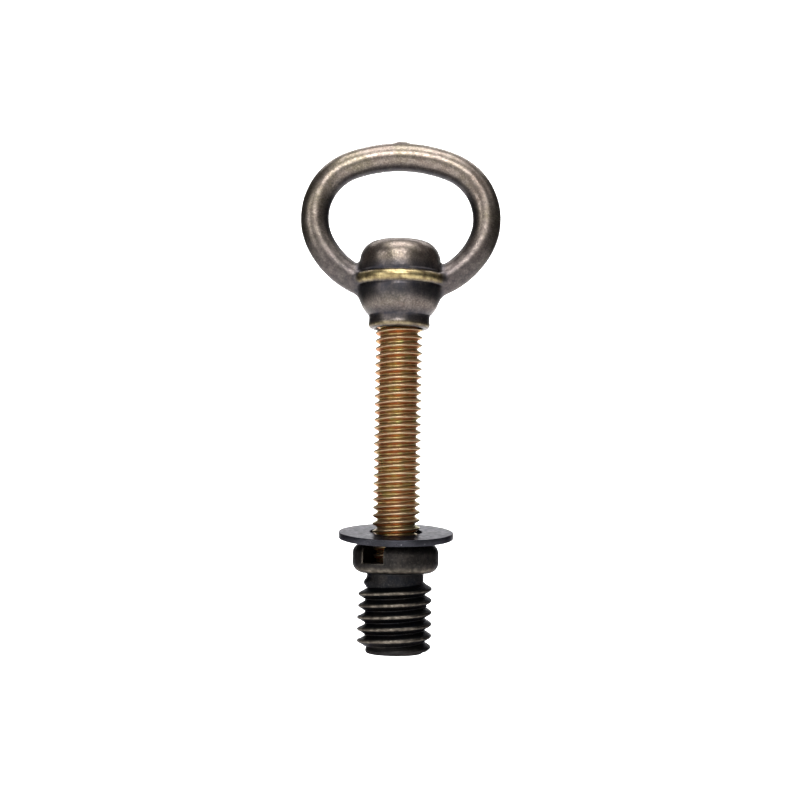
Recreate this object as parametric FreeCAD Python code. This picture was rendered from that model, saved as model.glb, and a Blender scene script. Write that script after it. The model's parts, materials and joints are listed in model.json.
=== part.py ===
import FreeCAD, Part
import math
import os

# An eye bolt with its timber insert. Millimetres, +Z up along the stud.
# The origin is on the stud's axis, at the underside of the insert's flange, which seats on the timber.
# The ring lies in the XZ plane.

# Machine thread of the stud and of the two tapped holes that hold it: 3/8-16, right-hand
STUD_PITCH = 25.4 / 16
STUD_CREST_R = 4.76
STUD_ROOT_R = 3.81
STUD_CREST_FLAT = 0.2
STUD_FLANK = 30.0            # degrees, half the thread's angle
STUD_CREST_Z = 47.03         # height of one crest on the +X side, which sets where every thread lies
STUD_TOP_Z = 60.7
STUD_BOTTOM_Z = -11.0
STUD_CHAMFER = 0.9
THREAD_GAP = 0.06            # radial room between the stud and a tapped hole

# Eye: the ring is a round bar bent to three arcs on each side, from the top down to the hub
BAR_R = 2.87
RING_TOP_Z = 83.81           # height of the bar's centre at the top of the ring
RING_ARCS = [(28.28, 20.6), (11.5, 96.2), (16.35, 44.0)]   # radius, degrees turned

# Eye: the hub's turned outline, from the top down
DOME_TOP_Z = 66.55
DOME_R = 8.25
DOME_CORNER_R = 4.0
BEAD_Z = 58.65               # middle height of the bead
BEAD_R = 8.72
BEAD_HALF = 1.2
BOWL_R = 8.3
BOWL_TOP_Z = 56.2            # the bowl curves in below here
BOWL_CURVE_R = 6.5
COLLAR_R = 6.22
COLLAR_BOTTOM_Z = 48.7
COLLAR_EDGE_R = 0.5
TAPPED_DEPTH = 13.2

# Washer, lying tilted on the front edge of the insert's flange
WASHER_R = 11.45
WASHER_HOLE_R = 5.23
WASHER_THICK = 1.28
WASHER_TILT = 6.9            # degrees, front edge down
WASHER_TOP_Z = 8.2           # height of its upper face on the axis
WASHER_EDGE = 0.15

# Timber insert
FLANGE_R = 8.58
FLANGE_THICK = 6.0
FLANGE_TOP_CORNER = 2.1
FLANGE_BOTTOM_CORNER = 1.8
SLOT_WIDTH = 4.7
SLOT_DEPTH = 4.25
SLOT_ANGLE = -122.8          # direction of the slot's front end, from +X
NECK_R = 5.66
NECK_BOTTOM_Z = -2.2
WOOD_PITCH = 2.3
WOOD_CREST_R = 7.32
WOOD_CORE_R = 5.5
WOOD_CREST_FLAT = 0.22
WOOD_FLANK = 28.0            # degrees, half the thread's angle
WOOD_CREST_Z = -3.04         # height of one crest on the +X side
WOOD_START_Z = -1.4          # the thread grows from the neck here
WOOD_FULL_TOP_Z = -2.5       # to full height here
WOOD_FULL_LOW_Z = -14.0      # and dies away from here
WOOD_END_Z = -15.2           # to nothing here
PILOT_R = 5.77
PILOT_TOP_Z = -14.6
INSERT_BOTTOM_Z = -15.8
PILOT_EDGE = 0.4

MOUTH_R = 5.1                # mouth of each tapped hole, countersunk
SEAM = 0.1                   # how far a thread ridge reaches past the surfaces that it meets
OVER = 1.0                   # how far a cutting tool runs past what it cuts


def point(x, z):
    return FreeCAD.Vector(x, 0, z)


def line(a, b):
    return Part.LineSegment(point(*a), point(*b)).toShape()


def arc(a, middle, b):
    return Part.Arc(point(*a), point(*middle), point(*b)).toShape()


def turned(edges):
    """A solid of revolution about Z from a closed outline in the XZ plane."""
    outline = Part.Wire(Part.__sortEdges__(edges))
    return Part.Face(outline).revolve(FreeCAD.Vector(0, 0, 0), FreeCAD.Vector(0, 0, 1), 360)


def polygon(points):
    return [line(a, b) for a, b in zip(points, points[1:] + points[:1])]


def cylinder(radius, low_z, high_z):
    return Part.makeCylinder(radius, high_z - low_z, FreeCAD.Vector(0, 0, low_z))


def helical_ridge(pitch, root_r, crest_r, crest_flat, flank_angle, crest_z, low_z, high_z):
    """A right-hand thread ridge, rooted a little below root_r. It has a crest at crest_z on the +X side."""
    inner_r = root_r - SEAM
    crest_half = crest_flat / 2
    inner_half = crest_half + (crest_r - inner_r) * math.tan(math.radians(flank_angle))
    section = Part.Wire(polygon([
        (inner_r, -inner_half), (crest_r, -crest_half), (crest_r, crest_half), (inner_r, inner_half),
    ]))
    turns_down = math.ceil((crest_z - low_z) / pitch)
    turns_up = math.ceil((high_z - crest_z) / pitch)
    turns = []
    for turn in range(turns_down + turns_up):
        helix = Part.makeHelix(pitch, pitch, crest_r)
        helix.translate(FreeCAD.Vector(0, 0, turn * pitch))
        turns += helix.Edges
    ridge = Part.Wire(turns).makePipeShell([section], True, True)
    ridge.translate(FreeCAD.Vector(0, 0, crest_z - turns_down * pitch))
    return ridge


def machine_thread(low_z, high_z, gap=0.0):
    """The stud's thread between two heights. With a gap it is the tool that taps a hole for the stud."""
    crest_r = STUD_CREST_R + gap
    root_r = STUD_ROOT_R + gap
    flank = math.radians(STUD_FLANK)
    crest_flat = STUD_CREST_FLAT + 2 * gap * (1 / math.cos(flank) - math.tan(flank))
    ridge = helical_ridge(STUD_PITCH, root_r, crest_r, crest_flat, STUD_FLANK, STUD_CREST_Z, low_z, high_z)
    core = cylinder(root_r, low_z - STUD_PITCH, high_z + STUD_PITCH)
    end_r = crest_r - STUD_CHAMFER
    wide_r = crest_r + OVER
    envelope = turned(polygon([
        (0, low_z), (end_r, low_z), (wide_r, low_z + STUD_CHAMFER + OVER),
        (wide_r, high_z - STUD_CHAMFER - OVER), (end_r, high_z), (0, high_z),
    ]))
    return core.fuse(ridge).common(envelope).Solids[0]


def make_stud():
    return machine_thread(STUD_BOTTOM_Z, STUD_TOP_Z)


def tapped_hole(low_z, high_z):
    """The tool that taps a hole for the stud between two heights."""
    return machine_thread(low_z, high_z, THREAD_GAP)


def countersink(mouth_z, direction):
    """A 45 degree cone that opens a tapped hole's mouth. direction is +1 for a mouth that faces up."""
    outside_z = mouth_z + direction * OVER
    tip_z = mouth_z - direction * MOUTH_R
    return turned(polygon([(0, outside_z), (MOUTH_R + OVER, outside_z), (0, tip_z)]))


def make_hub():
    """The turned hub: a dome, a bead, a bowl and a collar."""
    corner_x = DOME_R - DOME_CORNER_R
    corner_z = DOME_TOP_Z - DOME_CORNER_R
    bend = DOME_CORNER_R * math.sqrt(0.5)
    bead_top = (DOME_R, BEAD_Z + BEAD_HALF)
    bead_low = (BOWL_R, BEAD_Z - BEAD_HALF)
    bowl_turn = math.acos(1 - (BOWL_R - COLLAR_R) / BOWL_CURVE_R)
    bowl_x = BOWL_R - BOWL_CURVE_R
    bowl_points = [
        (bowl_x + BOWL_CURVE_R * math.cos(turn), BOWL_TOP_Z - BOWL_CURVE_R * math.sin(turn))
        for turn in (0, bowl_turn / 2, bowl_turn)
    ]
    edge_low_z = COLLAR_BOTTOM_Z + COLLAR_EDGE_R
    edge_bend = COLLAR_EDGE_R * (1 - math.sqrt(0.5))
    hub = turned([
        line((0, DOME_TOP_Z), (corner_x, DOME_TOP_Z)),
        arc((corner_x, DOME_TOP_Z), (corner_x + bend, corner_z + bend), (DOME_R, corner_z)),
        line((DOME_R, corner_z), bead_top),
        arc(bead_top, (BEAD_R, BEAD_Z), bead_low),
        line(bead_low, bowl_points[0]),
        arc(*bowl_points),
        line(bowl_points[2], (COLLAR_R, edge_low_z)),
        arc((COLLAR_R, edge_low_z), (COLLAR_R - edge_bend, COLLAR_BOTTOM_Z + edge_bend),
            (COLLAR_R - COLLAR_EDGE_R, COLLAR_BOTTOM_Z)),
        line((COLLAR_R - COLLAR_EDGE_R, COLLAR_BOTTOM_Z), (0, COLLAR_BOTTOM_Z)),
        line((0, COLLAR_BOTTOM_Z), (0, DOME_TOP_Z)),
    ])
    # The seam of the turned faces lies at the front, clear of the arms.
    hub.rotate(FreeCAD.Vector(0, 0, 0), FreeCAD.Vector(0, 0, 1), -90)
    return hub


def make_arm(side):
    """Half the ring, from the top down into the hub. side is +1 for +X."""
    centre_x = 0.0
    centre_z = RING_TOP_Z - RING_ARCS[0][0]
    start_angle = 0.0
    pieces = []
    for index, (radius, turn) in enumerate(RING_ARCS):
        if index:
            change = RING_ARCS[index - 1][0] - radius
            centre_x += change * math.sin(math.radians(start_angle))
            centre_z += change * math.cos(math.radians(start_angle))
        slope = math.radians(start_angle)
        middle = FreeCAD.Vector(centre_x + radius * math.sin(slope), 0, centre_z + radius * math.cos(slope))
        along = FreeCAD.Vector(math.cos(slope), 0, -math.sin(slope))
        section = Part.Face(Part.Wire(Part.makeCircle(BAR_R, middle, along)))
        pieces.append(section.revolve(point(centre_x, centre_z), FreeCAD.Vector(0, 1, 0), turn))
        start_angle += turn
    arm = pieces[0].multiFuse(pieces[1:])
    if side < 0:
        arm = arm.mirror(FreeCAD.Vector(0, 0, 0), FreeCAD.Vector(1, 0, 0))
    return arm


def make_eye():
    body = make_hub().multiFuse([make_arm(1), make_arm(-1)]).removeSplitter()
    hole = tapped_hole(COLLAR_BOTTOM_Z - OVER, COLLAR_BOTTOM_Z + TAPPED_DEPTH)
    return body.cut(hole).cut(countersink(COLLAR_BOTTOM_Z, -1)).Solids[0]


def make_washer():
    disc = cylinder(WASHER_R, -WASHER_THICK, 0).cut(cylinder(WASHER_HOLE_R, -WASHER_THICK - OVER, OVER))
    disc = disc.makeFillet(WASHER_EDGE, disc.Edges)
    disc.rotate(FreeCAD.Vector(0, 0, 0), FreeCAD.Vector(1, 0, 0), WASHER_TILT)
    disc.translate(FreeCAD.Vector(0, 0, WASHER_TOP_Z))
    return disc.Solids[0]


def insert_outline():
    """The insert's turned outline: rounded flange, neck, thread crest fading in and out, and plain pilot."""
    top = FLANGE_TOP_CORNER
    low = FLANGE_BOTTOM_CORNER
    edge = PILOT_EDGE
    top_bend = top * (1 - math.sqrt(0.5))
    low_bend = low * (1 - math.sqrt(0.5))
    edge_bend = edge * (1 - math.sqrt(0.5))
    return [
        line((0, FLANGE_THICK), (FLANGE_R - top, FLANGE_THICK)),
        arc((FLANGE_R - top, FLANGE_THICK), (FLANGE_R - top_bend, FLANGE_THICK - top_bend),
            (FLANGE_R, FLANGE_THICK - top)),
        line((FLANGE_R, FLANGE_THICK - top), (FLANGE_R, low)),
        arc((FLANGE_R, low), (FLANGE_R - low_bend, low_bend), (FLANGE_R - low, 0)),
        line((FLANGE_R - low, 0), (NECK_R, 0)),
        line((NECK_R, 0), (NECK_R, WOOD_START_Z)),
        line((NECK_R, WOOD_START_Z), (WOOD_CREST_R, WOOD_FULL_TOP_Z)),
        line((WOOD_CREST_R, WOOD_FULL_TOP_Z), (WOOD_CREST_R, WOOD_FULL_LOW_Z)),
        line((WOOD_CREST_R, WOOD_FULL_LOW_Z), (PILOT_R, WOOD_END_Z)),
        line((PILOT_R, WOOD_END_Z), (PILOT_R, INSERT_BOTTOM_Z + edge)),
        arc((PILOT_R, INSERT_BOTTOM_Z + edge), (PILOT_R - edge_bend, INSERT_BOTTOM_Z + edge_bend),
            (PILOT_R - edge, INSERT_BOTTOM_Z)),
        line((PILOT_R - edge, INSERT_BOTTOM_Z), (0, INSERT_BOTTOM_Z)),
        line((0, INSERT_BOTTOM_Z), (0, FLANGE_THICK)),
    ]


def make_slot():
    """The tool for the slot that drives the insert into the timber. It runs right across the flange."""
    length = 2 * (FLANGE_R + OVER)
    slot = Part.makeBox(length, SLOT_WIDTH, SLOT_DEPTH + OVER)
    slot.translate(FreeCAD.Vector(-length / 2, -SLOT_WIDTH / 2, FLANGE_THICK - SLOT_DEPTH))
    slot.rotate(FreeCAD.Vector(0, 0, 0), FreeCAD.Vector(0, 0, 1), SLOT_ANGLE)
    return slot


def make_insert():
    blank = turned(polygon([
        (0, FLANGE_THICK + OVER), (FLANGE_R + OVER, FLANGE_THICK + OVER), (FLANGE_R + OVER, -OVER / 2),
        (NECK_R + OVER, -OVER / 2), (NECK_R + OVER, NECK_BOTTOM_Z), (WOOD_CORE_R, NECK_BOTTOM_Z),
        (WOOD_CORE_R, PILOT_TOP_Z), (PILOT_R + OVER, PILOT_TOP_Z), (PILOT_R + OVER, INSERT_BOTTOM_Z - OVER),
        (0, INSERT_BOTTOM_Z - OVER),
    ]))
    blank = blank.cut(tapped_hole(INSERT_BOTTOM_Z - 2 * OVER, FLANGE_THICK + 2 * OVER))
    ridge = helical_ridge(WOOD_PITCH, WOOD_CORE_R, WOOD_CREST_R + SEAM, WOOD_CREST_FLAT, WOOD_FLANK,
                          WOOD_CREST_Z, WOOD_END_Z, WOOD_START_Z)
    body = blank.fuse(ridge).common(turned(insert_outline())).cut(make_slot())
    return body.cut(countersink(FLANGE_THICK, 1)).cut(countersink(INSERT_BOTTOM_Z, -1)).Solids[0]


def main():
    os.makedirs("parts", exist_ok=True)
    shapes = {
        "eye": make_eye(),
        "stud": make_stud(),
        "washer": make_washer(),
        "insert_nut": make_insert(),
    }
    for name, shape in shapes.items():
        shape.exportStep(f"parts/{name}.step")
        print(name, shape.isValid(), shape.ShapeType, len(shape.Faces), round(shape.Volume, 1))


main()
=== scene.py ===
import json
import math

import bmesh
import bpy
import numpy as np
from mathutils import Matrix, Vector


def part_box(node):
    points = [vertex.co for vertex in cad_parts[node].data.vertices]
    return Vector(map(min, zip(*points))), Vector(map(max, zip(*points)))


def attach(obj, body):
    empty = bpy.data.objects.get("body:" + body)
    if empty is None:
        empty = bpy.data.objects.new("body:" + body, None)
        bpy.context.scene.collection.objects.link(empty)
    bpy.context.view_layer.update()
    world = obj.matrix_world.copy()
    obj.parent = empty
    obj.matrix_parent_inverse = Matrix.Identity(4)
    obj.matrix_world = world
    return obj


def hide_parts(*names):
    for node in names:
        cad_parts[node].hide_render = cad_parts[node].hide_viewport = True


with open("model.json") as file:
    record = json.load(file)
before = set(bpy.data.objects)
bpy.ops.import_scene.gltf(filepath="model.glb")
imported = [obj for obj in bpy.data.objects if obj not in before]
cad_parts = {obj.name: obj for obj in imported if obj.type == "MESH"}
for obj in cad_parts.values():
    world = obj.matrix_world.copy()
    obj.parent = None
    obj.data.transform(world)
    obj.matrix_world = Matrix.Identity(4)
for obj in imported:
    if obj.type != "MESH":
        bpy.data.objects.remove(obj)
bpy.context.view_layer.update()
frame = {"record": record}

# Lengths are in millimetres until a mesh is made.
MM = 0.001
MOUNTS = {m["name"]: m for m in frame["record"]["mounts"]}
JOINTS = {j["name"]: j for j in frame["record"]["behaviour"]["joints"]}
SLIDE_LOW = JOINTS["washer_slide"]["range_m"][0] / MM


def node_box(node):
    low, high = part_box(node)
    return np.array(low) / MM, np.array(high) / MM


_, EYE_HIGH = node_box("eye")
STUD_LOW, STUD_HIGH = node_box("stud")
WASHER_LOW, WASHER_HIGH = node_box("washer")
INSERT_LOW, INSERT_HIGH = node_box("insert_nut")

# Stud thread, 3/8-16, right-hand
STUD_PITCH = 25.4 / 16
STUD_CREST_R = MOUNTS["stud_shank"]["dims"]["r_mm"]
STUD_ROOT_R = STUD_CREST_R - 0.95
STUD_CREST_Z = 47.03         # a crest on the +X side
STUD_CHAMFER = 0.9
THREAD_ROOM = 0.08           # between the stud's thread and the threads tapped for it
BORE_R = STUD_CREST_R + THREAD_ROOM
MOUTH_R = 5.1                # of the countersink at each end of a tapped hole

# Eye
BAR_R = 2.87
RING_TOP_Z = EYE_HIGH[2] - BAR_R
RING_ARCS = [(28.28, 20.6), (11.5, 96.2), (16.35, 44.0)]   # radius, degrees turned, from the top down
COLLAR_Z = MOUNTS["collar_face"]["pos_m"][2] / MM
DOME_R = 8.3
DOME_LEAN = 0.18             # how much narrower the dome's side is at its top
DOME_CORNER_R = 4.0
DOME_TOP_Z = 66.55
BEAD_R = 8.92
BEAD_Z = 58.65
BEAD_HALF = 1.2
BOWL_R = 8.28
BOWL_TOP_Z = 56.2
BOWL_CURVE_R = 6.5
COLLAR_R = 6.2
COLLAR_LIP = 0.9             # radius of the rounded lower edge
TAPPED_DEPTH = 13.2
CASTING_FILLET = 1.3
GATE_HEIGHT = 0.3            # stub on top of the ring where the gate was cut
NUB = (DOME_R - 0.05, -0.8, 63.1)
NUB_R = 0.42

# Insert
FLANGE_R = MOUNTS["flange_recess"]["dims"]["r_mm"]
FLANGE_TOP_Z = INSERT_HIGH[2]
FLANGE_TOP_ROUND = 2.1
FLANGE_LOW_ROUND = 2.2
SLOT_WIDTH = 4.7
SLOT_BOTTOM_Z = FLANGE_TOP_Z - 3.8
SLOT_ANGLE = math.radians(-122.8)
NECK_R = 5.66
WOOD_PITCH = 2.3
WOOD_CREST_R = MOUNTS["timber_thread"]["dims"]["r_mm"]
WOOD_ROOT_R = NECK_R - 0.1
WOOD_CREST_Z = -3.04
WOOD_GROWTH = [(-5.42, 0.0), (-5.28, 0.45), (-4.95, 1.0), (0.30, 1.0), (0.63, 0.0)]   # turns, ridge height
PILOT_R = 5.77
PILOT_ROUND = 0.55

# Washer
WASHER_R = (WASHER_HIGH[0] - WASHER_LOW[0]) / 2
WASHER_HOLE_R = 5.23
WASHER_THICK = 1.28
WASHER_TILT = math.radians(6.9)
WASHER_TOP_Z = 8.2


# ---------------------------------------------------------------- mesh helpers

def arc_points(centre, radius, start, end, count):
    """Points on an arc in the (r, z) plane. Angles are in degrees from +r towards +z."""
    angles = np.radians(np.linspace(start, end, count))
    return np.column_stack([centre[0] + radius * np.cos(angles), centre[1] + radius * np.sin(angles)])


def outline(*stretches):
    """Joins stretches of (r, z) points into one outline without doubled points."""
    points = np.vstack([np.atleast_2d(s) for s in stretches])
    keep = np.ones(len(points), bool)
    keep[1:] = np.linalg.norm(np.diff(points, axis=0), axis=1) > 1e-6
    return points[keep]


def spaced(points, step, closed=False):
    """Points along a polyline no more than step apart, keeping its corners."""
    ends = np.vstack([points, points[:1]]) if closed else points
    rows = []
    for a, b in zip(ends[:-1], ends[1:]):
        count = max(1, math.ceil(np.linalg.norm(b - a) / step))
        rows.append(a + (b - a) * (np.arange(count) / count)[:, None])
    if not closed:
        rows.append(ends[-1:])
    return np.vstack(rows)


def grid_faces(rows, columns, closed_rows):
    """Quads of a grid whose columns always close into a ring."""
    row_count = rows if closed_rows else rows - 1
    r = np.arange(row_count)[:, None]
    c = np.arange(columns)[None, :]
    r_next = (r + 1) % rows
    c_next = (c + 1) % columns
    quads = np.stack([r * columns + c, r * columns + c_next, r_next * columns + c_next,
                      r_next * columns + c], axis=-1)
    return quads.reshape(-1, 4)


def new_object(name, points, faces):
    mesh = bpy.data.meshes.new(name)
    mesh.from_pydata((np.asarray(points) * MM).tolist(), [], [list(face) for face in faces])
    mesh.validate()
    mesh.update()
    thing = bpy.data.objects.new(name, mesh)
    bpy.context.scene.collection.objects.link(thing)
    mesh.shade_smooth()
    return thing


def object_from(name, built):
    """A smooth-shaded object from a bmesh, which is then freed."""
    mesh = bpy.data.meshes.new(name)
    built.to_mesh(mesh)
    built.free()
    mesh.shade_smooth()
    thing = bpy.data.objects.new(name, mesh)
    bpy.context.scene.collection.objects.link(thing)
    return thing


def join(name, things):
    """One object from several, which are then removed."""
    joined = bmesh.new()
    for thing in things:
        joined.from_mesh(thing.data)
        bpy.data.objects.remove(thing)
    return object_from(name, joined)


def apply_modifiers(thing):
    bpy.context.view_layer.update()
    evaluated = thing.evaluated_get(bpy.context.evaluated_depsgraph_get())
    before, after = thing.data, bpy.data.meshes.new_from_object(evaluated)
    thing.modifiers.clear()
    thing.data = after
    bpy.data.meshes.remove(before)


def mesh_points(thing):
    co = np.zeros(len(thing.data.vertices) * 3)
    thing.data.vertices.foreach_get("co", co)
    return co.reshape(-1, 3) / MM


def set_points(thing, points):
    thing.data.vertices.foreach_set("co", (points * MM).ravel())
    thing.data.update()


def paint(thing, name, values):
    """A number for each vertex, from 0 to 1, that a material reads by name."""
    attribute = thing.data.attributes.new(name, "FLOAT", "POINT")
    attribute.data.foreach_set("value", np.clip(values, 0, 1).astype(np.float32))


def turned_points(profile, columns):
    """An (r, z) outline turned about Z, with a ring of points for each of its own."""
    angles = np.arange(columns) * 2 * math.pi / columns
    r, z = profile[:, 0][:, None], profile[:, 1][:, None]
    return np.stack([r * np.cos(angles), r * np.sin(angles), z + 0 * angles], axis=-1).reshape(-1, 3)


def lathe(name, profile, columns):
    """A closed solid turned from a closed (r, z) outline that stays off the axis."""
    faces = grid_faces(len(profile), columns, True)[:, ::-1]
    return new_object(name, turned_points(profile, columns), faces)


def lathe_with_poles(name, profile, columns):
    """A closed solid turned from an open (r, z) outline that starts and ends on the axis."""
    inner = profile[1:-1]
    points = turned_points(inner, columns)
    poles = [[0, 0, profile[0][1]], [0, 0, profile[-1][1]]]
    faces = grid_faces(len(inner), columns, False)[:, ::-1].tolist()
    first, last = len(points), len(points) + 1
    low_row = len(points) - columns
    for c in range(columns):
        c_next = (c + 1) % columns
        faces.append([first, c, c_next])
        faces.append([last, low_row + c_next, low_row + c])
    return new_object(name, np.vstack([points, poles]), faces)


def soft_noise(points, scale, seed, octaves):
    """Smooth noise from about -1 to 1: a few sums of sine waves in seeded directions."""
    rng = np.random.default_rng(seed)
    total = np.zeros(len(points))
    weight = 1.0
    for _ in range(octaves):
        layer = np.zeros(len(points))
        for _ in range(6):
            direction = rng.normal(size=3)
            direction /= np.linalg.norm(direction)
            layer += np.sin(points @ direction * 2 * math.pi / scale + rng.uniform(0, 2 * math.pi))
        total += weight * layer / 3
        scale /= 2.1
        weight *= 0.5
    return total / 1.5


# ---------------------------------------------------------------- distance fields

def outline_distance(profile, r, z):
    """Signed distance in the (r, z) plane to a closed outline, negative inside."""
    best = np.full(len(r), 1e9)
    inside = np.zeros(len(r), bool)
    for (r0, z0), (r1, z1) in zip(profile, np.roll(profile, -1, axis=0)):
        er, ez = r1 - r0, z1 - z0
        t = np.clip(((r - r0) * er + (z - z0) * ez) / (er * er + ez * ez), 0, 1)
        best = np.minimum(best, (r - r0 - t * er) ** 2 + (z - z0 - t * ez) ** 2)
        if z0 != z1:
            crosses = ((z0 > z) != (z1 > z)) & (r < er * (z - z0) / ez + r0)
            inside ^= crosses
    distance = np.sqrt(best)
    return np.where(inside, -distance, distance)


def smooth_union(a, b, width):
    blend = np.clip(0.5 + 0.5 * (b - a) / width, 0, 1)
    return b + (a - b) * blend - width * blend * (1 - blend)


def settle(thing, field):
    """Moves a remeshed surface onto a distance field's zero, keeping its points evenly spread."""
    mesh = thing.data
    edges = np.zeros(len(mesh.edges) * 2, np.int64)
    mesh.edges.foreach_get("vertices", edges)
    edges = edges.reshape(-1, 2)
    points = mesh_points(thing)
    neighbours = np.bincount(edges.ravel(), minlength=len(points))[:, None]
    rounds, relax, step, longest_move = 3, 0.5, 0.02, 0.3
    for turn in range(rounds):
        if turn:
            total = np.zeros_like(points)
            np.add.at(total, edges[:, 0], points[edges[:, 1]])
            np.add.at(total, edges[:, 1], points[edges[:, 0]])
            points = points + relax * (total / np.maximum(neighbours, 1) - points)
        for _ in range(2):
            value = field(points)
            slope = np.stack([
                (field(points + step * axis) - field(points - step * axis)) / (2 * step) for axis in np.eye(3)
            ], axis=-1)
            size = np.maximum((slope ** 2).sum(1), 0.2)
            move = -(value / size)[:, None] * slope
            length = np.linalg.norm(move, axis=1, keepdims=True)
            points = points + move * np.minimum(1, longest_move / np.maximum(length, 1e-9))
    set_points(thing, points)


def remesh(name, things, voxel):
    """One even skin over several overlapping closed meshes, which are then removed."""
    skin = join(name, things)
    modifier = skin.modifiers.new("even_skin", "REMESH")
    modifier.mode = "VOXEL"
    modifier.voxel_size = voxel * MM
    modifier.use_smooth_shade = True
    apply_modifiers(skin)
    return skin


# ---------------------------------------------------------------- eye

def hub_outline():
    """The hub's turned outline with its bore, as (r, z), going round once."""
    corner_r = DOME_R - DOME_LEAN - DOME_CORNER_R
    bowl_turn = math.degrees(math.acos(1 - (BOWL_R - COLLAR_R) / BOWL_CURVE_R))
    bowl = arc_points((BOWL_R - BOWL_CURVE_R, BOWL_TOP_Z), BOWL_CURVE_R, 0, -bowl_turn, 14)
    cove_z = bowl[-1][1]
    bead_centre_r = BEAD_R - BEAD_HALF
    upper_groove, lower_groove = 0.22, 0.15
    bore_top = COLLAR_Z + TAPPED_DEPTH
    return outline(
        (0.0, DOME_TOP_Z),
        arc_points((corner_r, DOME_TOP_Z - DOME_CORNER_R), DOME_CORNER_R, 90, 4, 20),
        (DOME_R, BEAD_Z + BEAD_HALF + 0.5),
        (DOME_R - upper_groove, BEAD_Z + BEAD_HALF + 0.05),
        arc_points((bead_centre_r, BEAD_Z), BEAD_HALF, 62, -62, 15),
        (BOWL_R - lower_groove, BEAD_Z - BEAD_HALF - 0.05),
        (BOWL_R, BEAD_Z - BEAD_HALF - 0.45),
        bowl,
        (COLLAR_R - 0.1, cove_z - 0.5),
        (COLLAR_R - 0.07, COLLAR_Z + COLLAR_LIP + 0.55),
        (COLLAR_R, COLLAR_Z + COLLAR_LIP + 0.2),
        arc_points((COLLAR_R - COLLAR_LIP, COLLAR_Z + COLLAR_LIP), COLLAR_LIP, 10, -90, 8),
        (MOUTH_R, COLLAR_Z),
        (BORE_R, COLLAR_Z + MOUTH_R - BORE_R),
        (BORE_R, bore_top),
        (0.0, bore_top),
    )


def ring_arcs():
    """Centre, radius, start and end angle of each arc of the ring's centre line, on the +X side."""
    arcs = []
    centre = np.array([0.0, RING_TOP_Z - RING_ARCS[0][0]])
    start = 0.0
    for index, (radius, turn) in enumerate(RING_ARCS):
        if index:
            heading = np.array([math.sin(math.radians(start)), math.cos(math.radians(start))])
            centre = centre + (RING_ARCS[index - 1][0] - radius) * heading
        arcs.append((centre, radius, start, start + turn))
        start += turn
    return arcs


def ring_place(points):
    """Distance from the ring's centre line, and how far towards the ring's outside each point lies."""
    x, y, z = np.abs(points[:, 0]), points[:, 1], points[:, 2]
    best = np.full(len(points), 1e9)
    outward = np.zeros(len(points))
    for centre, radius, start, end in ring_arcs():
        dx, dz = x - centre[0], z - centre[1]
        angle = np.radians(np.clip(np.degrees(np.arctan2(dx, dz)), start, end))
        out_x, out_z = np.sin(angle), np.cos(angle)
        off_x, off_z = dx - radius * out_x, dz - radius * out_z
        away = np.sqrt(off_x ** 2 + y ** 2 + off_z ** 2)
        nearer = away < best
        outward = np.where(nearer, (off_x * out_x + off_z * out_z) / BAR_R, outward)
        best = np.where(nearer, away, best)
    return best, outward


def ring_distance(points):
    """Distance from the ring's surface. The bar is a little uneven, with the stub of a gate on top."""
    away, _ = ring_place(points)
    gate = GATE_HEIGHT * np.exp(-(points[:, 0] / 1.5) ** 4 - (points[:, 1] / 1.3) ** 4)
    gate = gate * (points[:, 2] > RING_TOP_Z)
    return away - BAR_R + 0.02 - gate + 0.03 * soft_noise(points, scale=9.0, seed=5, octaves=2)


HUB_OUTLINE = hub_outline()


def hub_distance(points):
    return outline_distance(HUB_OUTLINE, np.hypot(points[:, 0], points[:, 1]), points[:, 2])


def eye_distance(points):
    """The whole casting: the ring runs into the hub with small fillets, and the bore is cut after."""
    body = smooth_union(ring_distance(points), hub_distance(points), CASTING_FILLET)
    bore = BORE_R - np.hypot(points[:, 0], points[:, 1])
    bore = np.where(points[:, 2] < COLLAR_Z + TAPPED_DEPTH, bore, -1.0)
    nub = np.linalg.norm(points - np.array(NUB), axis=1) - NUB_R
    surface = np.maximum(smooth_union(body, nub, 0.3), bore)
    return surface + 0.012 * soft_noise(points, scale=2.4, seed=11, octaves=3)


def ring_tube():
    """A rough ring mesh, one closed tube from one end in the hub to the other, to be remeshed."""
    rows = []
    for side, order in ((-1, reversed(ring_arcs())), (1, ring_arcs())):
        for centre, radius, start, end in order:
            angles = np.radians(np.linspace(start, end, 16))
            if side < 0:
                angles = angles[::-1]
            for angle in angles:
                out = np.array([side * math.sin(angle), 0.0, math.cos(angle)])
                middle = np.array([side * centre[0], 0.0, centre[1]]) + radius * out
                if rows and np.linalg.norm(rows[-1][0] - middle) < 1e-6:
                    continue
                rows.append((middle, out))
    columns = 24
    turns = np.arange(columns) * 2 * math.pi / columns
    across = np.array([0.0, 1.0, 0.0])
    points = [
        middle + BAR_R * (math.cos(turn) * out + math.sin(turn) * across)
        for middle, out in rows for turn in turns
    ]
    faces = grid_faces(len(rows), columns, False).tolist()
    faces.append(list(range(columns)))
    faces.append(list(range(len(rows) * columns - columns, len(rows) * columns))[::-1])
    return new_object("ring_rough", points, faces)


# How much painted shade the hub gets at each height: most in the grooves and between the highlights, some
# over the dome's top, little where the dome's and bowl's highlights fall
HUB_SHADE = [
    (48.6, 0.75), (49.6, 0.2), (50.1, 0.7), (50.9, 0.85), (51.3, 1.0), (51.9, 0.75),
    (53.0, 0.25), (54.0, 0.5), (55.2, 0.85), (56.5, 0.95), (59.6, 1.0),
    (60.1, 1.0), (61.2, 0.7), (62.2, 0.0), (65.0, 0.15), (66.4, 0.5),
]


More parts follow.
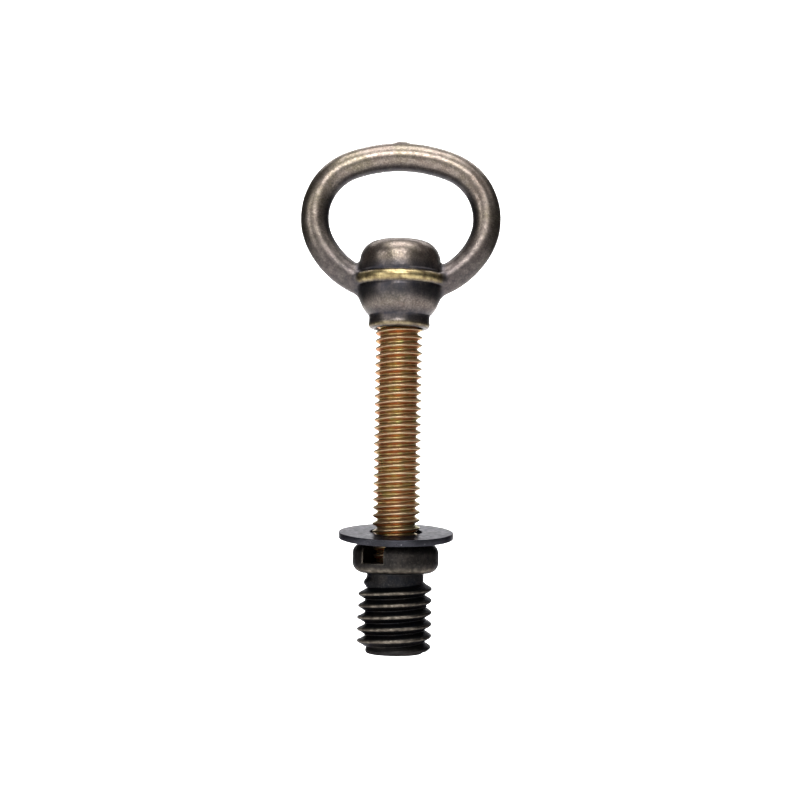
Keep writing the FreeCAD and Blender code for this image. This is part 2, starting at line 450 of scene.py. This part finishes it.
def paint_eye(thing):
    """Where the patina is rubbed down to brass, and where it is darkened: painted shade in bands on the hub
    and over the ring's lower part, and darker where the ring meets the hub and on the ring's inner side.
    """
    points = mesh_points(thing)
    z = points[:, 2]
    ring, hub = ring_distance(points), hub_distance(points)
    _, outward = ring_place(points)
    on_hub = np.exp(-np.maximum(hub, 0) / 0.25)
    clear_of_ring = np.clip((ring + 0.1) / 0.8, 0, 1)
    bead = np.exp(-((z - BEAD_Z) / (BEAD_HALF * 0.86)) ** 6) * (np.hypot(points[:, 0], points[:, 1]) > 8.0)
    rim = 0.45 * np.exp(-((z - COLLAR_Z - 0.62) / 0.34) ** 4)
    paint(thing, "rubbed", on_hub * clear_of_ring * (bead + rim))
    # Painted shade in bands by height, kept off the bead
    bands = np.interp(z, *zip(*HUB_SHADE))
    on_bead = np.abs(z - BEAD_Z) < BEAD_HALF * 0.9
    bands = np.where(on_bead, 0.0, bands) * on_hub
    joint = 1.25 * np.exp(-(np.maximum(ring, 0) + np.maximum(hub, 0)) / 2.2)
    # Painted shade on the ring, stronger towards its lower arms
    low_arm_shade = np.interp(z, [56.0, 62.0, 73.0], [0.75, 0.6, 0.0]) * (hub > 0.3)
    inside = np.clip(-outward * 2.2 - 1.1, 0, 1) * np.exp(-np.maximum(ring, 0) / 0.3)
    paint(thing, "dark", np.maximum.reduce([bands, joint, inside, low_arm_shade]))


def make_eye():
    hub = lathe_with_poles("hub_rough", spaced(HUB_OUTLINE, 0.6), 72)
    skin = remesh("eye_casting", [hub, ring_tube()], 0.16)
    settle(skin, eye_distance)
    paint_eye(skin)
    return skin


# ---------------------------------------------------------------- threads

def thread_profile(crest_flat, flank_depth, flank_angle, pitch, rounding):
    """A thread's height above its root, from 0 to 1, at evenly spaced phases from one crest to the next."""
    count = 720
    phase = np.arange(count) / count
    away = np.minimum(phase, 1 - phase) * pitch
    flank = flank_depth * math.tan(math.radians(flank_angle))
    height_share = np.clip(1 - (away - crest_flat / 2) / flank, 0, 1)
    waves = np.fft.rfftfreq(count, d=1 / count)
    blur = np.exp(-2 * (math.pi * waves * rounding / pitch) ** 2)
    soft = np.fft.irfft(np.fft.rfft(height_share) * blur, count)
    return soft / soft.max()


def profile_at(profile, phase):
    place = (phase % 1.0) * len(profile)
    low = np.floor(place).astype(int) % len(profile)
    part = place - np.floor(place)
    return profile[low] * (1 - part) + profile[(low + 1) % len(profile)] * part


def helical_skin(pitch, crest_z, low_z, high_z, columns, rows_per_pitch, radius_at, inward=False):
    """A threaded surface whose rows follow the helix. It runs past both heights, to be cut back.

    The phase is 0 at a crest and grows by 1 to the next one up.
    """
    first = math.floor((low_z - crest_z) / pitch - 1.2) * rows_per_pitch
    last = math.ceil((high_z - crest_z) / pitch + 0.2) * rows_per_pitch
    row, column = np.meshgrid(np.arange(first, last + 1), np.arange(columns), indexing="ij")
    phase, angle = row / rows_per_pitch, column / columns * 2 * math.pi
    z = crest_z + pitch * (phase + column / columns)
    r = radius_at(phase, z, angle)
    points = np.stack([r * np.cos(angle), r * np.sin(angle), z], axis=-1).reshape(-1, 3)
    row_count = last - first + 1
    r_index = np.arange(row_count - 1)[:, None]
    c_index = np.arange(columns - 1)[None, :]
    body = np.stack([
        r_index * columns + c_index, r_index * columns + c_index + 1,
        (r_index + 1) * columns + c_index + 1, (r_index + 1) * columns + c_index,
    ], axis=-1).reshape(-1, 4)
    k = np.arange(row_count - 1 - rows_per_pitch)
    seam = np.stack([
        k * columns + columns - 1, (k + rows_per_pitch) * columns,
        (k + rows_per_pitch + 1) * columns, (k + 1) * columns + columns - 1,
    ], axis=-1)
    faces = np.vstack([body, seam])
    if inward:
        faces = faces[:, ::-1]
    return points, faces


def cut_and_cap(name, skins, low_z, high_z):
    """One closed mesh from open skins: cut at two heights, with flat ends filled in."""
    built = bmesh.new()
    for points, faces in skins:
        vertices = [built.verts.new(p) for p in (np.asarray(points) * MM).tolist()]
        for face in faces.tolist():
            built.faces.new([vertices[i] for i in face])
    for z, direction in ((low_z, -1), (high_z, 1)):
        everything = built.verts[:] + built.edges[:] + built.faces[:]
        bmesh.ops.bisect_plane(built, geom=everything, plane_co=(0, 0, z * MM), plane_no=(0, 0, direction),
                               clear_outer=True, dist=1e-8)
        rim = [e for e in built.edges if e.is_boundary and all(abs(v.co.z - z * MM) < 1e-7 for v in e.verts)]
        bmesh.ops.triangle_fill(built, edges=rim, use_beauty=True, normal=(0, 0, direction))
    bmesh.ops.recalc_face_normals(built, faces=built.faces[:])
    return object_from(name, built)


# ---------------------------------------------------------------- stud

STUD_PROFILE = thread_profile(
    crest_flat=0.25, flank_depth=STUD_CREST_R - STUD_ROOT_R, flank_angle=29.0,
    pitch=STUD_PITCH, rounding=0.035,
)


def make_stud():
    def radius_at(phase, z, angle):
        r = STUD_ROOT_R + (STUD_CREST_R - STUD_ROOT_R) * profile_at(STUD_PROFILE, phase)
        from_end = np.minimum(z - STUD_LOW[2], STUD_HIGH[2] - z)
        return np.minimum(r, STUD_CREST_R - STUD_CHAMFER + np.maximum(from_end, 0.0))

    skin = helical_skin(STUD_PITCH, STUD_CREST_Z, STUD_LOW[2], STUD_HIGH[2], 96, 18, radius_at)
    stud = cut_and_cap("threaded_stud", [skin], STUD_LOW[2], STUD_HIGH[2])
    points = mesh_points(stud)
    r = np.hypot(points[:, 0], points[:, 1])
    turned = np.arctan2(points[:, 1], points[:, 0]) / (2 * math.pi)
    phase = (points[:, 2] - STUD_CREST_Z) / STUD_PITCH - turned
    # Thread height and facing-down share: from them the plating puts a painted highlight on the tips and
    # painted light on the lower flanks
    paint(stud, "crest", (r - STUD_ROOT_R) / (STUD_CREST_R - STUD_ROOT_R))
    paint(stud, "underside", 0.5 - 0.5 * np.sin(2 * math.pi * phase))
    return stud


# ---------------------------------------------------------------- washer

def make_washer():
    edge, uneven = 0.16, 0.02
    low_z = -WASHER_THICK
    profile = outline(
        arc_points((WASHER_R - edge, -edge), edge, 90, 0, 6),
        arc_points((WASHER_R - edge, low_z + edge), edge, 0, -90, 6),
        arc_points((WASHER_HOLE_R + edge, low_z + edge), edge, -90, -180, 6),
        arc_points((WASHER_HOLE_R + edge, -edge), edge, 180, 90, 6),
    )
    washer = lathe("plain_washer", spaced(profile, 0.5, closed=True), 144)
    points = mesh_points(washer)
    points[:, 2] += uneven * soft_noise(points, scale=8.0, seed=21, octaves=2)
    points = points @ np.array(Matrix.Rotation(WASHER_TILT, 3, "X")).T
    points[:, 2] += WASHER_TOP_Z - 2 * uneven
    set_points(washer, points)
    return washer


# ---------------------------------------------------------------- insert

WOOD_PROFILE = thread_profile(
    crest_flat=0.46, flank_depth=WOOD_CREST_R - WOOD_ROOT_R, flank_angle=30.0,
    pitch=WOOD_PITCH, rounding=0.15,
)
FLANGE_OUTLINE = outline(
    (BORE_R, FLANGE_TOP_Z - 0.3),
    (MOUTH_R, FLANGE_TOP_Z),
    arc_points((FLANGE_R - FLANGE_TOP_ROUND, FLANGE_TOP_Z - FLANGE_TOP_ROUND), FLANGE_TOP_ROUND, 90, 0, 14),
    arc_points((FLANGE_R - FLANGE_LOW_ROUND, FLANGE_LOW_ROUND), FLANGE_LOW_ROUND, 0, -90, 14),
    (NECK_R - 0.2, 0.0),
    (BORE_R, 0.0),
)


def slot_axes(points):
    along = points[:, 0] * math.cos(SLOT_ANGLE) + points[:, 1] * math.sin(SLOT_ANGLE)
    across = -points[:, 0] * math.sin(SLOT_ANGLE) + points[:, 1] * math.cos(SLOT_ANGLE)
    return along, across


def flange_distance(points):
    body = outline_distance(FLANGE_OUTLINE, np.hypot(points[:, 0], points[:, 1]), points[:, 2])
    _, across = slot_axes(points)
    slot = np.maximum(np.abs(across) - SLOT_WIDTH / 2, SLOT_BOTTOM_Z - points[:, 2])
    cut = -smooth_union(-body, slot, 0.3)
    return cut + 0.02 * soft_noise(points, scale=3.0, seed=31, octaves=3)


def cut_away(thing, tool):
    modifier = thing.modifiers.new("cut", "BOOLEAN")
    modifier.operation = "DIFFERENCE"
    modifier.solver = "EXACT"
    modifier.object = tool
    apply_modifiers(thing)
    bpy.data.objects.remove(tool)


def make_flange():
    rough = lathe("flange_rough", spaced(FLANGE_OUTLINE, 0.5, closed=True), 96)
    tool_half_height = 3.0
    half = np.array([FLANGE_R + 2, SLOT_WIDTH / 2, tool_half_height])
    corners = np.array([[x, y, z] for x in (-1, 1) for y in (-1, 1) for z in (-1, 1)]) * half
    corners[:, 2] += SLOT_BOTTOM_Z + tool_half_height
    turn = np.array(Matrix.Rotation(SLOT_ANGLE, 3, "Z"))
    sides = [[0, 1, 3, 2], [4, 6, 7, 5], [0, 4, 5, 1], [2, 3, 7, 6], [0, 2, 6, 4], [1, 5, 7, 3]]
    cut_away(rough, new_object("slot_tool", corners @ turn.T, sides))
    skin = remesh("insert_flange", [rough], 0.13)
    settle(skin, flange_distance)
    return skin


def make_insert_body():
    """Neck, wood thread and pilot outside, and the tapped bore inside. Its top is inside the flange."""
    low_z, high_z = INSERT_LOW[2], 0.4

    def outer_radius(phase, z, angle):
        turns = np.round(phase) + angle / (2 * math.pi)
        grown = np.interp(turns, *zip(*WOOD_GROWTH))
        ridge = profile_at(WOOD_PROFILE, phase)
        flash = 0.16 * np.exp(-((angle - math.pi) / 0.05) ** 2) * (ridge > 0.75) * (z < -7.5)
        thread = WOOD_ROOT_R + (WOOD_CREST_R - WOOD_ROOT_R) * ridge * grown + flash
        plain = np.interp(z, [-15.0, -14.2, -3.0, -2.2], [PILOT_R, NECK_R - 0.14, NECK_R - 0.14, NECK_R])
        into_round = np.clip(low_z + PILOT_ROUND - z, 0, PILOT_ROUND)
        rounded = PILOT_R - PILOT_ROUND + np.sqrt(PILOT_ROUND ** 2 - into_round ** 2)
        scar = np.exp(-((z + 6.5) / 0.5) ** 2 - ((np.mod(angle + math.pi, 2 * math.pi) - math.pi) / 0.3) ** 2)
        plain = plain + 0.85 * scar
        return np.minimum(np.maximum(thread, plain), np.where(z < low_z + PILOT_ROUND, rounded, np.inf))

    def bore_radius(phase, z, angle):
        thread = STUD_ROOT_R + (STUD_CREST_R - STUD_ROOT_R) * profile_at(STUD_PROFILE, phase) + THREAD_ROOM
        return np.maximum(thread, MOUTH_R - (z - low_z))

    outside = helical_skin(WOOD_PITCH, WOOD_CREST_Z, low_z, high_z, 144, 30, outer_radius)
    inside = helical_skin(STUD_PITCH, STUD_CREST_Z, low_z, high_z, 96, 16, bore_radius, inward=True)
    return cut_and_cap("insert_body", [outside, inside], low_z, high_z)


def paint_insert(thing):
    """Crests and slot edges are rubbed, the crests brightest front-left as painted light; the flange's lower
    edge gets a painted highlight; roots and the slot are dark.
    """
    points = mesh_points(thing)
    z, r = points[:, 2], np.hypot(points[:, 0], points[:, 1])
    _, across = slot_axes(points)
    side = np.mod(np.degrees(np.arctan2(points[:, 1], points[:, 0])), 360)
    # Painted light: the rubbed crests are brightest on the front-left side and dim on the right
    lit_side_share = np.interp(side, [0, 150, 190, 285, 320, 360], [0.2, 0.35, 0.8, 1.0, 0.3, 0.2])
    crest = np.clip((r - WOOD_CREST_R + 0.26) / 0.24, 0, 1) * (z < -1.6) * lit_side_share
    # Painted highlight along the flange's lower edge
    low_edge_highlight = 0.85 * np.exp(-((z - 0.6) / 0.5) ** 2) * (r > 7.4) * (z > -0.5)
    slot_side = np.abs(np.abs(across) - SLOT_WIDTH / 2)
    side_edge = np.exp(-(slot_side / 0.22) ** 2) * (z > SLOT_BOTTOM_Z - 0.2)
    floor_edge = np.exp(-((z - SLOT_BOTTOM_Z) / 0.2) ** 2) * (np.abs(across) < SLOT_WIDTH / 2 + 0.15)
    edges = 0.55 * np.maximum(side_edge, floor_edge) * (r > FLANGE_R - 0.35)
    paint(thing, "rubbed", np.maximum(np.maximum(crest, low_edge_highlight), edges))
    in_slot = (np.abs(across) < SLOT_WIDTH / 2 + 0.1) & (z > SLOT_BOTTOM_Z - 0.1) & (r < FLANGE_R - 0.2)
    on_flange = np.clip((r - 6.6) / 0.8, 0, 1) * (z > -0.3)
    outside = 1 - 0.75 * on_flange - 0.25 * crest - 0.5 * (z < -13.9)
    paint(thing, "dark", np.where(in_slot | (r < 5.3), 1.0, outside))


def make_insert():
    insert = join("timber_insert", [make_flange(), make_insert_body()])
    paint_insert(insert)
    return insert


# ---------------------------------------------------------------- materials

class Finish:
    """A node material under construction. Sizes are in millimetres."""

    def __init__(self, name, metallic, **constants):
        self.material = bpy.data.materials.new(name)
        self.material.use_nodes = True
        self.tree = self.material.node_tree
        self.shader = self.tree.nodes["Principled BSDF"]
        self.shader.inputs["Metallic"].default_value = metallic
        for socket, value in constants.items():
            self.shader.inputs[socket.replace("_", " ")].default_value = value
        self.place = self.tree.nodes.new("ShaderNodeTexCoord").outputs["Object"]

    def node(self, kind, inputs, **settings):
        made = self.tree.nodes.new("ShaderNode" + kind)
        for key, value in settings.items():
            setattr(made, key, value)
        for socket, value in inputs.items():
            self.feed(made.inputs[socket], value)
        return made

    def feed(self, socket, value):
        if isinstance(value, bpy.types.NodeSocket):
            self.tree.links.new(value, socket)
        else:
            socket.default_value = value

    def stretched(self, x, y, z):
        return self.node("Mapping", {"Vector": self.place, "Scale": (x, y, z)}).outputs["Vector"]

    def noise(self, size, detail, place=None):
        inputs = {"Vector": place or self.place, "Scale": 1 / (size * MM), "Detail": detail,
                  "Roughness": 0.55}
        return self.node("TexNoise", inputs).outputs["Fac"]

    def painted(self, name):
        return self.node("Attribute", {}, attribute_name=name).outputs["Fac"]

    def math(self, operation, a, b, clamp=False):
        return self.node("Math", {0: a, 1: b}, operation=operation, use_clamp=clamp).outputs[0]

    def steps(self, value, low, high, to_low=0.0, to_high=1.0):
        """Maps the range low to high onto to_low to to_high, and holds outside it."""
        inputs = {"Value": value, "From Min": low, "From Max": high, "To Min": to_low, "To Max": to_high}
        return self.node("MapRange", inputs).outputs["Result"]

    def blend(self, share, a, b):
        made = self.node("Mix", {}, data_type="RGBA")
        self.feed(made.inputs[0], share)
        self.feed(made.inputs[6], a if isinstance(a, bpy.types.NodeSocket) else (*a, 1))
        self.feed(made.inputs[7], b if isinstance(b, bpy.types.NodeSocket) else (*b, 1))
        return made.outputs[2]

    def ramp(self, share, stops):
        made = self.node("ValToRGB", {"Fac": share})
        band = made.color_ramp
        while len(band.elements) < len(stops):
            band.elements.new(0.5)
        for element, (place, colour) in zip(band.elements, stops):
            element.position = place
            element.color = (*colour, 1)
        return made.outputs["Color"]

    def bump(self, height, depth, strength):
        made = self.node("Bump", {"Height": height, "Distance": depth * MM, "Strength": strength})
        return made.outputs["Normal"]

    def finish(self, colour, roughness, normal):
        self.feed(self.shader.inputs["Base Color"], colour)
        self.feed(self.shader.inputs["Roughness"], roughness)
        self.feed(self.shader.inputs["Normal"], normal)
        return self.material


def antique_brass():
    """Brown-grey patina over brass: speckled, darkened where the eye is painted dark (in its hollows, and
    with painted shade on the hub and the ring's lower part), rubbed bright on the bead.
    """
    f = Finish("antique_brass", 1.0, Specular_Tint=(0.85, 0.83, 0.82, 1))
    cloud, mottle, grain = f.noise(7.0, 3.0), f.noise(1.5, 4.0), f.noise(0.34, 2.0)
    patina = f.ramp(cloud, [
        (0.36, (0.088, 0.066, 0.055)),
        (0.5, (0.088, 0.071, 0.059)),
        (0.62, (0.082, 0.069, 0.050)),
    ])
    worn = f.blend(f.steps(mottle, 0.42, 0.68, 0.0, 0.6), patina, (0.150, 0.127, 0.112))
    specks = f.blend(f.steps(grain, 0.52, 0.72, 0.0, 0.45), worn, (0.23, 0.195, 0.165))
    pits = f.blend(f.steps(grain, 0.45, 0.30, 0.0, 0.55), specks, (0.040, 0.036, 0.034))
    # Where the eye is painted dark, partly patina and partly painted shade, the colour goes near black
    shade = f.math("MULTIPLY", f.painted("dark"), f.steps(mottle, 0.3, 0.7, 1.05, 0.75), clamp=True)
    shaded_patina = f.blend(shade, pits, (0.022, 0.022, 0.027))
    brass = f.ramp(mottle, [
        (0.34, (0.080, 0.058, 0.028)),
        (0.47, (0.155, 0.118, 0.056)),
        (0.62, (0.26, 0.210, 0.105)),
    ])
    brass = f.blend(f.steps(grain, 0.47, 0.3, 0.0, 0.6), brass, (0.10, 0.07, 0.035))
    rubbed = f.math("MULTIPLY", f.painted("rubbed"), f.steps(mottle, 0.25, 0.5, 0.72, 1.0), clamp=True)
    colour = f.blend(rubbed, shaded_patina, brass)
    rough = f.math("ADD", f.steps(grain, 0.3, 0.7, 0.40, 0.31), f.steps(shade, 0.0, 1.0, 0.0, 0.06))
    relief = f.math("ADD", grain, f.math("MULTIPLY", mottle, 0.8))
    return f.finish(colour, rough, f.bump(relief, 0.05, 0.35))


def yellow_chromate():
    """Zinc plating with a yellow passivate whose film shifts between gold, red and green; the red lower
    flanks are brightened as painted light from below, and the crest tips carry a painted highlight.
    """
    f = Finish("yellow_chromate", 0.93, Specular_Tint=(0.75, 0.74, 0.66, 1))
    film = f.noise(3.0, 2.0, f.stretched(1.0, 1.0, 1.8))
    fine = f.noise(0.9, 4.0, f.stretched(1.0, 1.0, 2.0))
    grain = f.noise(0.22, 2.0)
    crest, underside = f.painted("crest"), f.painted("underside")
    upper = f.ramp(film, [
        (0.34, (0.20, 0.155, 0.070)),
        (0.5, (0.22, 0.145, 0.080)),
        (0.64, (0.17, 0.165, 0.075)),
    ])
    # Red film on the lower flanks, made brighter as painted light from below
    lower = f.ramp(film, [
        (0.34, (0.41, 0.240, 0.065)),
        (0.45, (0.44, 0.145, 0.046)),
        (0.55, (0.38, 0.118, 0.052)),
        (0.68, (0.40, 0.265, 0.080)),
    ])
    root = f.ramp(fine, [
        (0.36, (0.17, 0.165, 0.060)),
        (0.5, (0.19, 0.130, 0.058)),
        (0.66, (0.13, 0.085, 0.045)),
    ])
    flank = f.blend(f.steps(underside, 0.35, 0.65), upper, lower)
    body = f.blend(f.steps(crest, 0.2, 0.0, 0.0, 0.85), flank, root)
    # Paler crest tips: a painted highlight
    crest_highlight = f.ramp(fine, [
        (0.36, (0.145, 0.105, 0.066)),
        (0.52, (0.205, 0.160, 0.105)),
        (0.64, (0.165, 0.146, 0.084)),
    ])
    tipped = f.blend(f.steps(crest, 0.66, 0.95, 0.0, 0.85), body, crest_highlight)
    colour = f.blend(f.steps(grain, 0.46, 0.3, 0.0, 0.45), tipped, (0.08, 0.05, 0.022))
    rough = f.steps(fine, 0.3, 0.7, 0.27, 0.42)
    relief = f.math("ADD", grain, fine)
    return f.finish(colour, rough, f.bump(relief, 0.035, 0.6))


def black_washer():
    """Glossy blue-black finish with a slight orange peel, fine scratches and a few bright nicks."""
    f = Finish("black_washer", 1.0, Specular_Tint=(0.50, 0.495, 0.51, 1))
    cloud, peel, nicks = f.noise(5.0, 3.0), f.noise(0.9, 2.0), f.noise(0.42, 1.0)
    lines = f.noise(0.5, 3.0, f.stretched(0.12, 1.6, 1.0))
    base = f.ramp(cloud, [
        (0.35, (0.012, 0.0125, 0.015)),
        (0.5, (0.017, 0.017, 0.020)),
        (0.65, (0.024, 0.024, 0.029)),
    ])
    rubbed = f.blend(f.steps(lines, 0.6, 0.75, 0.0, 0.2), base, (0.07, 0.07, 0.08))
    colour = f.blend(f.steps(nicks, 0.73, 0.77, 0.0, 0.6), rubbed, (0.22, 0.21, 0.23))
    rough = f.math("ADD", f.steps(peel, 0.3, 0.7, 0.26, 0.40), f.steps(lines, 0.5, 0.75, 0.0, 0.12))
    return f.finish(colour, rough, f.bump(f.math("ADD", peel, lines), 0.015, 0.4))


def black_casting():
    """Oil-black casting, brassy where the crests and edges have rubbed, with a painted highlight on the
    flange's lower edge and painted light brightening the front-left crests.
    """
    f = Finish("black_casting", 1.0, Specular_Tint=(0.45, 0.45, 0.46, 1))
    cloud, mottle, grain = f.noise(4.0, 3.0), f.noise(0.9, 4.0), f.noise(0.28, 2.0)
    black = f.ramp(cloud, [
        (0.35, (0.007, 0.0075, 0.009)),
        (0.6, (0.012, 0.011, 0.0105)),
    ])
    brown = f.ramp(mottle, [
        (0.34, (0.010, 0.009, 0.0085)),
        (0.5, (0.014, 0.0125, 0.0115)),
        (0.66, (0.022, 0.019, 0.017)),
    ])
    base = f.blend(f.painted("dark"), brown, black)
    base = f.blend(f.steps(grain, 0.55, 0.72, 0.0, 0.3), base, (0.060, 0.056, 0.050))
    brass = f.ramp(mottle, [
        (0.34, (0.050, 0.043, 0.034)),
        (0.48, (0.070, 0.060, 0.048)),
        (0.66, (0.135, 0.118, 0.097)),
    ])
    share = f.math("MULTIPLY", f.painted("rubbed"), f.steps(mottle, 0.3, 0.6, 0.6, 1.0), clamp=True)
    colour = f.blend(share, base, brass)
    rough = f.steps(grain, 0.3, 0.7, 0.52, 0.38)
    relief = f.math("ADD", grain, f.math("MULTIPLY", mottle, 1.2))
    return f.finish(colour, rough, f.bump(relief, 0.06, 0.6))


def paper_white():
    """A white sheet, lit from below like a light table, so that next to no shadow shows on it."""
    f = Finish("paper_white", 0.0, Emission_Color=(1, 1, 1, 1), Emission_Strength=0.85)
    colour = f.blend(f.noise(30.0, 2.0), (0.90, 0.90, 0.90), (0.92, 0.92, 0.92))
    return f.finish(colour, 0.85, f.bump(f.noise(1.0, 1.0), 0.005, 0.3))


# ---------------------------------------------------------------- assembly

eye = make_eye()
stud = make_stud()
washer = make_washer()
insert = make_insert()

for piece, node, body, slot, material in (
    (eye, "eye", "eye_bolt", "eye_casting", antique_brass()),
    (stud, "stud", "eye_bolt", "stud_plating", yellow_chromate()),
    (washer, "washer", "washer", "washer_black", black_washer()),
    (insert, "insert_nut", "insert_nut", "insert_casting", black_casting()),
):
    piece.data.materials.clear()
    piece.data.materials.append(material)
    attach(piece, body)
    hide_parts(node)


# ---------------------------------------------------------------- floor, light and camera

def soft_panel(name, place, aim, size, power):
    lamp = bpy.data.lights.new(name, "AREA")
    lamp.shape = "RECTANGLE"
    lamp.size, lamp.size_y = size[0] * MM, size[1] * MM
    lamp.energy = power
    panel = bpy.data.objects.new(name, lamp)
    bpy.context.scene.collection.objects.link(panel)
    panel.location = Vector(place) * MM
    panel.rotation_euler = (Vector(aim) - Vector(place)).to_track_quat("-Z", "Y").to_euler()


def make_floor():
    """A white sheet that lies flat under the insert's lowest place on the stud and curves up behind."""
    floor_z = INSERT_LOW[2] + SLIDE_LOW - 0.02
    front, back, bend, side, rise = -170.0, 400.0, 120.0, 260.0, 360.0
    bend_steps = 12
    run = [(front, floor_z), (back, floor_z)]
    for step in range(1, bend_steps + 1):
        turn = math.radians(90 * step / bend_steps)
        run.append((back + bend * math.sin(turn), floor_z + bend * (1 - math.cos(turn))))
    run.append((back + bend, floor_z + rise))
    points = [(x, y, z) for y, z in run for x in (-side, side)]
    faces = [(2 * i, 2 * i + 1, 2 * i + 3, 2 * i + 2) for i in range(len(run) - 1)]
    floor = new_object("floor_sheet", points, faces)
    floor.data.materials.append(paper_white())


def make_camera():
    """Level with the stud a little above the washer, and tipped up to centre the eye bolt."""
    camera_x, camera_z, distance = 0.4, 16.0, 270.7
    aim_above_camera = 18.45
    lean = math.radians(0.88)
    data = bpy.data.cameras.new("camera")
    data.lens = 60.9
    data.sensor_width = 36.0
    data.clip_start = 0.01
    camera = bpy.data.objects.new("camera", data)
    bpy.context.scene.collection.objects.link(camera)
    camera.location = Vector((camera_x, -distance, camera_z)) * MM
    upward = math.atan(aim_above_camera / distance)
    tip_up = Matrix.Rotation(math.pi / 2 + upward, 3, "X")
    camera.rotation_euler = (tip_up @ Matrix.Rotation(lean, 3, "Z")).to_euler()
    bpy.context.scene.camera = camera


def make_world():
    world = bpy.data.worlds.new("studio")
    bpy.context.scene.world = world
    world.use_nodes = True
    world.node_tree.nodes["Background"].inputs["Color"].default_value = (0.95, 0.97, 1.0, 1)
    world.node_tree.nodes["Background"].inputs["Strength"].default_value = 0.10


make_floor()
make_world()
make_camera()

# Name, place, the point it faces, width and height, and power in watts
for panel in (
    ("key_panel", (-12, -262, 205), (0, 0, 62), (150, 85), 1.15),
    ("top_panel", (0, -75, 325), (0, 0, 60), (240, 150), 1.4),
    ("left_panel", (-270, -240, 90), (0, 0, 30), (130, 260), 0.65),
    ("right_panel", (230, -110, 290), (0, 0, 60), (120, 160), 0.12),
    ("low_panel", (5, -195, -14), (0, -60, 60), (240, 110), 0.30),
    ("back_panel", (0, 240, 380), (0, 420, 60), (500, 160), 3.0),
):
    soft_panel(*panel)
bpy.context.scene.view_settings.view_transform = "Standard"
